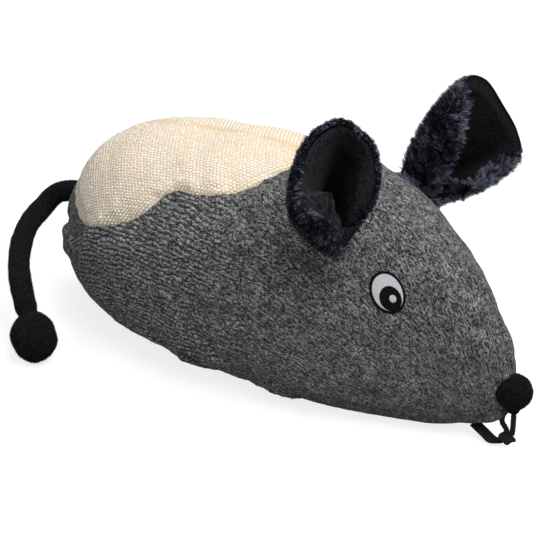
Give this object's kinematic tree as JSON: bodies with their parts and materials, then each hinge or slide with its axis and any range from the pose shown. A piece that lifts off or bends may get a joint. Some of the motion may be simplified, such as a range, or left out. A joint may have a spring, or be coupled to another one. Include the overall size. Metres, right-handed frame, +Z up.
{
  "type": "mouse cat toy",
  "caption": "Stuffed mouse toy for a cat: plump knit body with a sisal scratch patch on the back, cupped fur ears, embroidered eyes, a nose loop and a tail ending in a ball.",
  "frame": {"origin": "on the surface the toy lies on, under the middle of the body, at the flat of the belly", "axes": "+X towards the nose along the body, +Y to the left side of the mouse, +Z up from the belly to the back"},
  "size_m": [0.472, 0.2669, 0.2425],
  "materials": {
    "knit": "heathered grey rib knit",
    "sisal": "natural woven sisal",
    "fur": "black faux fur",
    "lining": "black fleece lining",
    "fleece": "black fleece",
    "tape": "woven tape",
    "thread": "black embroidery thread",
    "white_thread": "white embroidery thread",
    "stuffing": "polyester fibre stuffing"
  },
  "bodies": {
    "body": {"stuffing_core": "stuffing", "rump_panel": "knit", "scratch_panel_left": "sisal", "scratch_panel_right": "sisal", "side_panel_left": "knit", "side_panel_right": "knit", "belly_panel": "knit", "eye_outline_left": "thread", "eye_outline_right": "thread", "eye_white_left": "white_thread", "eye_white_right": "white_thread", "eye_pupil_left": "thread", "eye_pupil_right": "thread", "eye_glint_left": "white_thread", "eye_glint_right": "white_thread", "ear_foot_left": "fur", "ear_foot_right": "fur", "nose_cover": "fleece", "nose_filling": "stuffing", "nose_tie": "thread", "tail_base": "fleece"},
    "ear_left": {"ear_back_left": "fur", "ear_lining_left": "lining"},
    "ear_right": {"ear_back_right": "fur", "ear_lining_right": "lining"},
    "tail_root": {"tail_sleeve_root": "fleece", "tail_filling_root": "stuffing"},
    "tail_middle": {"tail_sleeve_middle": "fleece", "tail_filling_middle": "stuffing"},
    "tail_tip": {"tail_sleeve_tip": "fleece", "tail_filling_tip": "stuffing"},
    "tail_ball": {"tail_ball_cover": "fleece", "tail_ball_filling": "stuffing"},
    "nose_loop": {"loop_tape": "tape", "loop_knot": "tape", "loop_strand_front": "tape", "loop_strand_rear": "tape"}
  },
  "joints": [
    {"name": "ear_left_fold", "type": "hinge", "parent": "body", "child": "ear_left", "pos_m": [0.09352, 0.0584, 0.15185], "axis": [0.944, -0.2635, -0.1984], "range_deg": [-20, 20]},
    {"name": "ear_right_fold", "type": "hinge", "parent": "body", "child": "ear_right", "pos_m": [0.09352, -0.0584, 0.15185], "axis": [0.944, 0.2635, -0.1984], "range_deg": [-20, 20]},
    {"name": "tail_root_wag", "type": "hinge", "parent": "body", "child": "tail_root", "pos_m": [-0.21903, 0.00071, 0.07831], "axis": [0, 0, 1], "range_deg": [-45, 5]},
    {"name": "tail_middle_lift", "type": "hinge", "parent": "tail_root", "child": "tail_middle", "pos_m": [-0.23251, -0.03893, 0.06303], "axis": [-0.9061, -0.423, 0], "range_deg": [0, 45]},
    {"name": "tail_tip_wag", "type": "hinge", "parent": "tail_middle", "child": "tail_tip", "pos_m": [-0.20109, -0.08296, 0.04943], "axis": [0, 0, 1], "range_deg": [-40, 8]},
    {"name": "tail_ball_swing", "type": "hinge", "parent": "tail_tip", "child": "tail_ball", "pos_m": [-0.15869, -0.11497, 0.03199], "axis": [0, 0, 1], "range_deg": [-30, 12]},
    {"name": "loop_swing", "type": "hinge", "parent": "body", "child": "nose_loop", "pos_m": [0.179, 0, 0.01133], "axis": [0.8632, 0, 0.5048], "range_deg": [-25, 25]}
  ]
}
